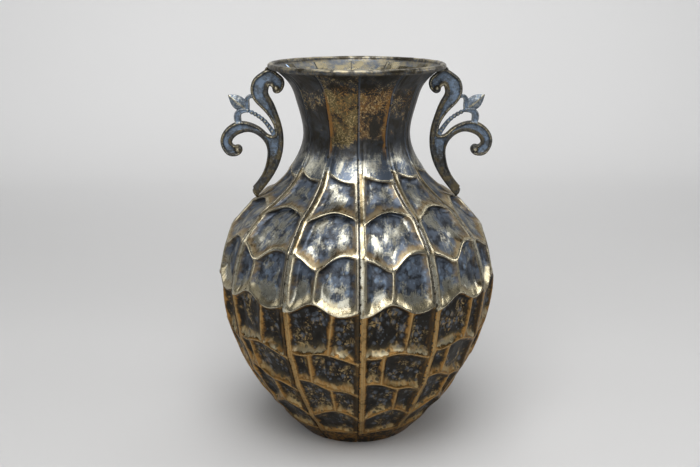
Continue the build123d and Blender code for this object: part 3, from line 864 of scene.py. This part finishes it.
# Bright wear runs along a line this far inside the outer edges, and wider along the neck's
WEAR_INSET = 2.2
WEAR_HALF = 1.0
OUTER_WEAR = 0.75
NECK_WEAR = 0.35
PETAL_WEAR = 0.7
PETAL_WEAR_INSET = 1.0
PETAL_WEAR_HALF = 0.8
BUD_WEAR = 0.5
BUD_LINE_WEAR = 0.4
BUD_LINE = (1.6, 0.4)
BUD_PATINA = 0.7
# The hollows' blue patina fades out towards the foot
BLUE_HEIGHTS = (40.0, 85.0)

# Fineness of the handle's outlines, drawing grid and mesh
EDGE_POINTS = 12
LIMB_POINTS = 40
BUD_POINTS = 30
BEAD_POINTS = 24
HANDLE_VOXEL = 0.5
DRAWING_PITCH = 0.4
DRAWING_MARGIN = 2.0
# Thickness is drawn a little past each outline, so that it doesn't drop at the mesh's edge
DRAWING_SKIRT = 1.0

FOOT_PROUD = SEAT_GAP - seam_sag(HANDLE_FOOT_HEIGHT)
FOOT_X = profile_radius(HANDLE_FOOT_HEIGHT) + FOOT_PROUD * stretch(HANDLE_FOOT_HEIGHT)
TOP_Z = RIM_HEIGHT - RIM_ROD / 2 - SEAT_GAP


def placed(points):
    """Carry points of the handle drawing to their place between shoulder and rim."""
    x, z = np.array(points, float).T
    share = z / HANDLE_DRAWN_TOP[1]
    lean = RIM_RADIUS - FOOT_X - HANDLE_DRAWN_TOP[0]
    climb = TOP_Z - HANDLE_FOOT_HEIGHT
    return np.column_stack([FOOT_X + x + lean * share, HANDLE_FOOT_HEIGHT + climb * share])


def smooth_path(points, count):
    """Evenly counted points on a smooth curve through the given ones."""
    points = np.array(points, float)
    along = np.append(0, np.cumsum(np.hypot(*np.diff(points, axis=0).T)))
    places = np.linspace(0, along[-1], count)
    return np.column_stack([smooth_curve(np.column_stack([along, c]))(places) for c in points.T])


def limb_outline(stations):
    """Closed outline of a limb drawn as (x, z, half width) along its middle line."""
    middle = smooth_path(placed([s[:2] for s in stations]), LIMB_POINTS)
    half = smooth_path([(i, s[2]) for i, s in enumerate(stations)], LIMB_POINTS)[:, 1]
    way = np.gradient(middle, axis=0)
    way /= np.hypot(*way.T)[:, None]
    side = np.column_stack([-way[:, 1], way[:, 0]]) * half[:, None]
    return np.concatenate([middle + side, (middle - side)[::-1]])


def bead_outline(x, z):
    """Closed circle of a bead."""
    turns = np.linspace(0, 2 * pi, BEAD_POINTS, endpoint=False)
    return np.column_stack([x + BEAD_RADIUS * np.cos(turns), z + BEAD_RADIUS * np.sin(turns)])


def rounded(depth, width):
    """Quarter-round rise from 0 at an edge to 1 at this width inside it."""
    return np.sqrt(1 - (1 - np.clip(depth / width, 0, 1)) ** 2)


class Drawing:
    """Half thickness, hollows and wear of the handle, on a fine grid round its outlines."""

    def __init__(self, outlines):
        everything = np.concatenate(outlines)
        self.low = everything.min(0) - DRAWING_MARGIN
        high = everything.max(0) + DRAWING_MARGIN
        axes = [np.arange(start, end, DRAWING_PITCH) for start, end in zip(self.low, high)]
        self.x, self.z = np.meshgrid(*axes, indexing="ij")
        self.up = self.z - HANDLE_FOOT_HEIGHT

    def distance(self, path, closed=False):
        """Distance of every grid point to a path."""
        ends = np.roll(path, -1, axis=0)
        count = len(path) if closed else len(path) - 1
        nearest = np.full(self.x.shape, np.inf)
        for (ax, az), (bx, bz) in zip(path[:count], ends[:count]):
            dx, dz = bx - ax, bz - az
            along = (self.x - ax) * dx + (self.z - az) * dz
            share = np.clip(along / max(dx * dx + dz * dz, 1e-12), 0, 1)
            nearest = np.minimum(nearest, np.hypot(self.x - ax - share * dx, self.z - az - share * dz))
        return nearest

    def depth(self, outline):
        """Distance of every grid point inside a closed outline, negative outside it."""
        inside = np.zeros(self.x.shape, bool)
        for (ax, az), (bx, bz) in zip(outline, np.roll(outline, -1, axis=0)):
            if az != bz:
                crosses = (az > self.z) != (bz > self.z)
                inside ^= crosses & (self.x < (bx - ax) * (self.z - az) / (bz - az) + ax)
        distance = self.distance(outline, closed=True)
        return np.where(inside, distance, -distance)

    def cast(self, depth, half, hollow, wear, skirt=DRAWING_SKIRT):
        """Make a limb at least this thick, and give it its patina and wear."""
        self.half = np.where(depth > -skirt, np.maximum(self.half, half), self.half)
        self.hollow = np.where(depth > 0, hollow, self.hollow)
        self.wear = np.where(depth > 0, wear, self.wear)

    def cast_body(self, body, neck, crown, scroll, belly):
        """S-shaped stem and side scroll, hollowed out between raised borders."""
        depth = self.depth(body)
        self.body_area = depth > -DRAWING_SKIRT
        outer_edge = np.minimum(self.distance(crown), self.distance(scroll))
        neck_edge = self.distance(neck)
        belly_border = STEM_BORDER + (ARM_BORDER - STEM_BORDER) * smoothstep(*ARM_HEIGHTS, self.up)
        hollow = smoothstep(OUTER_BORDER, OUTER_BORDER + BORDER_FALL, outer_edge)
        hollow *= smoothstep(NECK_BORDER, NECK_BORDER + 2 * BORDER_FALL, neck_edge)
        hollow *= smoothstep(0, BORDER_FALL, self.distance(belly) - belly_border)
        self.hollow = hollow * smoothstep(*HOLLOW_HEIGHTS, self.up) * (depth > 0)
        outer_wear = OUTER_WEAR * np.exp(-((outer_edge - WEAR_INSET) / WEAR_HALF) ** 2)
        neck_wear = NECK_WEAR * np.exp(-((neck_edge - 2 * WEAR_INSET) / (2 * WEAR_HALF)) ** 2)
        self.wear = np.where(depth > 0, outer_wear + neck_wear, 0)
        share = np.mean([rounded(depth, width) for width in BODY_ROUNDINGS], axis=0)
        half = EDGE_HALF + (BODY_HALF - EDGE_HALF) * share
        self.half = np.where(self.body_area, half - HOLLOW_DEPTH * self.hollow, 0)

    def cast_knob(self, x, z, radius):
        """Domed eye of a scroll, with a groove round it."""
        (x, z), = placed([(x, z)])
        reach = np.hypot(self.x - x, self.z - z)
        falls, deep, climbs, level = radius + np.array(KNOB_GROOVE)
        groove = smoothstep(level, climbs, reach) * smoothstep(falls, deep, reach)
        self.half = np.where(self.body_area, self.half - KNOB_GROOVE_DEPTH * groove, self.half)
        dome = EDGE_HALF + (KNOB_HALF - EDGE_HALF) * rounded(radius - reach, radius)
        self.cast(radius - reach, dome, 0, smoothstep(radius, 0, reach), skirt=0)

    def cast_bud(self, bud):
        """Bud at the end of the beaded stem, worn brightest along its middle."""
        depth = self.depth(bud)
        half = BUD_EDGE_HALF + BUD_HALF * np.clip(depth / BUD_ROUNDING, 0, 1)
        off_middle = self.distance(placed([BUD_EDGE[0], BUD_EDGE[-1]]))
        self.cast(depth, half, BUD_PATINA, BUD_WEAR + BUD_LINE_WEAR * smoothstep(*BUD_LINE, off_middle))

    def cast_petal(self, petal):
        """Cupped petal with a worn border."""
        depth = self.depth(petal)
        half = EDGE_HALF + (PETAL_HALF - EDGE_HALF) * rounded(depth, PETAL_ROUNDING)
        half -= PETAL_CUP * smoothstep(PETAL_ROUNDING, PETAL_CUP_INSET, depth)
        wear = PETAL_WEAR * np.exp(-((depth - PETAL_WEAR_INSET) / PETAL_WEAR_HALF) ** 2)
        self.cast(depth, half, 1, wear)

    def cast_stem(self, stem):
        """Thin stem that carries the beads."""
        depth = self.depth(stem)
        self.cast(depth, STEM_EDGE_HALF + STEM_HALF * rounded(depth, STEM_ROUNDING), 1, 0)

    def cast_bead(self, x, z):
        """Round bead, worn on its crown."""
        depth = BEAD_RADIUS - np.hypot(self.x - x, self.z - z)
        half = BEAD_HALF * rounded(depth, BEAD_RADIUS)
        self.cast(depth, half, 1, smoothstep(0, BEAD_RADIUS, depth), skirt=0)

    def sampled(self, values, points):
        """Grid values at scattered points, by linear interpolation."""
        place = (points - self.low) / DRAWING_PITCH
        cell = np.clip(np.floor(place).astype(int), 0, np.array(values.shape) - 2)
        u, v = (place - cell).T
        i, j = cell.T
        return (values[i, j] * (1 - u) * (1 - v) + values[i + 1, j] * u * (1 - v)
                + values[i, j + 1] * (1 - u) * v + values[i + 1, j + 1] * u * v)


def handle_drawing():
    """Outlines of the handle's limbs, and the drawing that they make together."""
    body_edges = (NECK_EDGE, CROWN_EDGE, SCROLL_EDGE, BELLY_EDGE)
    neck, crown, scroll, belly = [smooth_path(placed(e), EDGE_POINTS * len(e)) for e in body_edges]
    body = np.concatenate([neck[:-1], crown[:-1], scroll[:-1], belly])
    bud = np.concatenate([smooth_path(placed(e), BUD_POINTS)[:-1] for e in (BUD_EDGE, BUD_LOWER_EDGE)])
    petals = [limb_outline(INNER_PETAL), limb_outline(OUTER_PETAL)]
    stem = limb_outline(BEAD_STEM)
    beads = smooth_path(placed([s[:2] for s in BEAD_STEM]), BEAD_COUNT + 2)[1:-1]
    outlines = [body, bud, stem] + petals + [bead_outline(*bead) for bead in beads]

    drawing = Drawing(outlines)
    drawing.cast_body(body, neck, crown, scroll, belly)
    for knob in (CROWN_KNOB, SCROLL_KNOB):
        drawing.cast_knob(*knob)
    drawing.cast_bud(bud)
    for petal in petals:
        drawing.cast_petal(petal)
    drawing.cast_stem(stem)
    for bead in beads:
        drawing.cast_bead(*bead)
    return outlines, drawing


def softened(values):
    """Average every grid point with its neighbours."""
    padded = np.pad(values, 1, mode="edge")
    sides = padded[:-2, 1:-1] + padded[2:, 1:-1] + padded[1:-1, :-2] + padded[1:-1, 2:]
    return (values * 2 + sides) / 6


def fused_slab(outlines, half):
    """Points and quads of one fine closed mesh round all the outlines, this far to front and back."""
    points, faces = [], []
    for outline in outlines:
        ring = np.arange(len(outline)) + len(points)
        back = ring + len(outline)
        points += [(x, y, z) for y in (-half, half) for x, z in outline]
        faces += [ring.tolist(), back[::-1].tolist()]
        faces += np.stack([np.roll(ring, 1), np.roll(back, 1), back, ring], -1).tolist()
    mesh = bpy.data.meshes.new("slab")
    mesh.from_pydata((np.array(points) * MM).tolist(), [], faces)
    obj = add_object("slab", mesh)
    remesh = obj.modifiers.new("fuse", "REMESH")
    remesh.mode = "VOXEL"
    remesh.voxel_size = HANDLE_VOXEL * MM
    fused = obj.evaluated_get(bpy.context.evaluated_depsgraph_get()).to_mesh()
    made = np.array([v.co for v in fused.vertices]) / MM
    quads = np.array([p.vertices for p in fused.polygons])
    bpy.data.objects.remove(obj)
    bpy.data.meshes.remove(mesh)
    return made, quads


def handles(material):
    """Right handle from the drawing, and the left one as its mirror image."""
    outlines, drawing = handle_drawing()
    points, quads = fused_slab(outlines, BODY_HALF)
    places = points[:, [0, 2]]
    points[:, 1] *= drawing.sampled(softened(drawing.half), places) / BODY_HALF
    blue = drawing.hollow * smoothstep(*BLUE_HEIGHTS, drawing.up)
    attributes = {"wear": drawing.sampled(drawing.wear, places), "hollow": drawing.sampled(blue, places)}
    for side, name in ((1, "right_handle"), (-1, "left_handle")):
        obj = mesh_object(f"cast_{name}", points * (side, 1, 1), quads[:, ::side], attributes, material)
        add_piece(obj, "cast_scroll", name)


cast_metal = handle_finish()
handles(cast_metal)

# Rim rod, and the solder that smooths the corner between it and the inside of the panels
RIM_UNEVEN = 0.12
RIM_WAVE = 30.0
RIM_TURNS = 361
RIM_BENDS = 25
FILLET_RUNS = [1.0, 4.0, 8.0]
FILLET_PROUD = 0.1


def rim_ring(material):
    """Rod ring round the mouth, a little uneven from hand finishing, and its solder."""
    rng = np.random.default_rng(SEED)
    turns = np.linspace(0, 2 * pi, RIM_TURNS)
    a, b = np.meshgrid(turns, np.linspace(0, 2 * pi, RIM_BENDS), indexing="ij")
    way = round_points(np.cos(b), a, np.sin(b))
    middle = round_points(RIM_RADIUS, a, np.full(a.shape, RIM_HEIGHT))
    even = middle + way * (RIM_ROD / 2 - RIM_WEAR)
    rod = even - way * np.abs(ripple(even, rng, RIM_WAVE, RIM_UNEVEN))[..., None]
    wall_z = height_at(run_at(PANEL_TOP) - np.array(FILLET_RUNS))
    wall_r = profile_radius(wall_z) - (SHEET_THICKNESS + FILLET_PROUD) * stretch(wall_z)
    r, turn = np.meshgrid(np.append(RIM_RADIUS - RIM_ROD / 2 + RIM_WEAR, wall_r), turns, indexing="ij")
    z = np.repeat(np.append(RIM_HEIGHT, wall_z)[:, None], RIM_TURNS, 1)
    obj = grid_object("rod_rim", [rod, round_points(r, turn, z)], [True, True], {}, material)
    add_piece(obj, "rim_rod", "rim_ring")


rim_ring(rim_finish())
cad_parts["base_plate"].material_slots[0].material = base_finish()

# Weld beads: radii along and across, tilt in degrees, and shift into the corner from the CAD's bead
WELDS = {
    "handle_top_welds": ((4.0, 2.0), -45.0, (-1.6, -1.6)),
    "handle_foot_welds": ((3.0, 6.5), -24.0, (-0.6, 4.0)),
}
WELD_UNEVEN = 0.1
WELD_WAVE = 4.0
WELD_TURNS = 33
WELD_SWINGS = 25
WELD_WEAR = 0.35


def weld_lumps(node, material, radii, tilt, shift):
    """Uneven weld beads on both sides, tilted and drawn into the corner that they fill."""
    rng = np.random.default_rng(SEED)
    low, high = [np.array(corner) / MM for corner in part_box(node)]
    turns = np.linspace(0, 2 * pi, WELD_TURNS)
    turn, swing = np.meshgrid(turns, np.linspace(-pi / 2, pi / 2, WELD_SWINGS), indexing="ij")
    way = np.stack([np.cos(swing) * np.cos(turn), np.sin(swing), np.cos(swing) * np.sin(turn)], -1)
    even = way * (radii[0], high[1], radii[1])
    lump = even * (1 - np.abs(ripple(even, rng, WELD_WAVE, WELD_UNEVEN)))[..., None]
    turned = (lump[..., 0] + 1j * lump[..., 2]) * np.exp(1j * radians(tilt))
    centre = (high[0] - (high[2] - low[2]) / 2 + shift[0], 0, (low[2] + high[2]) / 2 + shift[1])
    right = np.stack([turned.real, lump[..., 1], turned.imag], -1) + centre
    lumps = [right, right * (-1, 1, 1)]
    attributes = {"wear": np.full(2 * turn.size, WELD_WEAR), "hollow": np.zeros(2 * turn.size)}
    obj = grid_object(f"{node}_lumps", lumps, [True, False], attributes, material)
    add_piece(obj, "weld_metal", node)


for node, bead in WELDS.items():
    weld_lumps(node, cast_metal, *bead)

# Tack welds: small dark lumps along the laps, closer together on the lower half
TACK_RADIUS = 2.0
# Share of the radius and height above the lap's band
TACK_PROFILE = [(0.0, 0.08), (0.6, 0.06), (0.9, -0.1), (1.0, -0.7)]
TACK_TURNS = 13
TACK_SIZES = (0.4, 1.1)
TACK_SHIFTS = (-1.0, 1.0)
TACK_STRETCHES = (0.8, 1.5)
TACK_LOW = 30.0
TACK_BELLY = 240.0
TACK_HIGH = 470.0
LOW_SPACING = 12.0
HIGH_SPACING = 20.0
SPACING_SHARES = (0.35, 2.0)


def seam_tacks(material):
    """One mesh of flat domes on all twelve seams."""
    rng = np.random.default_rng(SEED)
    turns = np.linspace(0, 2 * pi, TACK_TURNS)
    shares, heights = np.array(TACK_PROFILE).T
    reach, turn = np.meshgrid(shares, turns, indexing="ij")
    proud = np.repeat(heights[:, None], TACK_TURNS, axis=1)
    domes = []
    for gore in range(GORE_COUNT):
        run = run_at(TACK_LOW)
        while run < run_at(TACK_HIGH):
            z = height_at(run)
            size = TACK_RADIUS * rng.uniform(*TACK_SIZES)
            across = LAP_SETBACK + rng.uniform(*TACK_SHIFTS) + size * reach * np.cos(turn)
            up = height_at(run + size * rng.uniform(*TACK_STRETCHES) * reach * np.sin(turn))
            domes.append(on_body(up, across, seam_sag(z) - proud, gore))
            run += (LOW_SPACING if z < TACK_BELLY else HIGH_SPACING) * rng.uniform(*SPACING_SHARES)
    obj = grid_object("seam_tacks", domes, [False] * len(domes), {}, material)
    add_piece(obj, "weld_metal")


seam_tacks(weld_finish())

# Floor and backdrop in one sweep, in metres
SWEEP_HALF_WIDTH = 4.0
SWEEP_FRONT = -4.0
SWEEP_BACK = 1.6
SWEEP_RADIUS = 0.8
SWEEP_TOP = 4.0
SWEEP_STEPS = 24
PAPER_DARK = (0.58, 0.575, 0.57)
PAPER_LIGHT = (0.62, 0.615, 0.61)
PAPER_RELIEF = 0.0001
WALL_GLOW = 0.35
WALL_GLOW_PLACES = (0.3, 2.4)


def studio_finish():
    """Matt pale paper with a faint cloudiness, whose wall looks as pale as its floor."""
    f = Finish("studio_paper")
    cloud = speckle(f.place, 1.2, 2)
    f.dress(blend(cloud, PAPER_DARK, PAPER_LIGHT), 0.0, 0.8, cloud, PAPER_RELIEF)
    rays = ("Is Camera Ray", "Is Glossy Ray", "Is Transmission Ray")
    seen = most(*[put(f.tree, "LightPath", {}, ray) for ray in rays])
    wall = rise(f.axis("Y"), *WALL_GLOW_PLACES)
    f.feed({"Emission Color": (1.0, 1.0, 1.0, 1.0), "Emission Strength": WALL_GLOW * seen * wall})
    return f.material


def backdrop(material):
    """Floor that curves up into a wall behind the vase."""
    turns = np.linspace(0, pi / 2, SWEEP_STEPS)
    y = np.r_[SWEEP_FRONT, SWEEP_BACK + SWEEP_RADIUS * np.sin(turns), SWEEP_BACK + SWEEP_RADIUS]
    z = np.r_[0, SWEEP_RADIUS * (1 - np.cos(turns)), SWEEP_TOP]
    left = np.column_stack([np.full(len(y), -SWEEP_HALF_WIDTH), y, z])
    points = np.stack([left, left * (-1, 1, 1)], 1) / MM
    obj = grid_object("backdrop", [points], [True], {}, material)


backdrop(studio_finish())

# Soft square lights: name, place and width in metres, and power in watts
LIGHTS = [
    ("key_light", (-0.15, -0.95, 2.2), 1.6, 44),
    ("front_light", (-0.2, -2.1, 1.0), 1.3, 11),
    ("top_light", (0.2, 0.7, 2.3), 1.6, 14),
    ("right_light", (1.7, 0.1, 1.0), 0.8, 7),
    ("left_light", (-1.7, 0.3, 1.0), 0.7, 3),
]
LIGHT_AIM = (0, 0, 0.28)
WORLD_COLOR = (0.9, 0.95, 1, 1)
WORLD_STRENGTH = 0.1


def area_light(name, place, size, power):
    """Soft square light aimed at the middle of the vase."""
    light = bpy.data.lights.new(name, "AREA")
    light.size = size
    light.energy = power
    obj = add_object(name, light)
    obj.location = place
    obj.rotation_euler = (Vector(LIGHT_AIM) - Vector(place)).to_track_quat("-Z", "Y").to_euler()


for light in LIGHTS:
    area_light(*light)

world = bpy.data.worlds.new("studio")
bpy.context.scene.world = world
world.use_nodes = True
background = world.node_tree.nodes["Background"]
background.inputs["Color"].default_value = WORLD_COLOR
background.inputs["Strength"].default_value = WORLD_STRENGTH

# Camera, fitted to the photo; sensor and lens in millimetres
CAMERA_PLACE = (-0.0279, -1.2207, 0.607)
CAMERA_TILT = 74.83
CAMERA_YAW = -0.89
CAMERA_SENSOR = 36
CAMERA_LENS = 46.95
camera = add_object("camera", bpy.data.cameras.new("camera"))
camera.data.sensor_width = CAMERA_SENSOR
camera.data.lens = CAMERA_LENS
camera.location = CAMERA_PLACE
camera.rotation_euler = (radians(CAMERA_TILT), 0, radians(CAMERA_YAW))
bpy.context.scene.camera = camera
bpy.context.scene.view_settings.view_transform = "Standard"
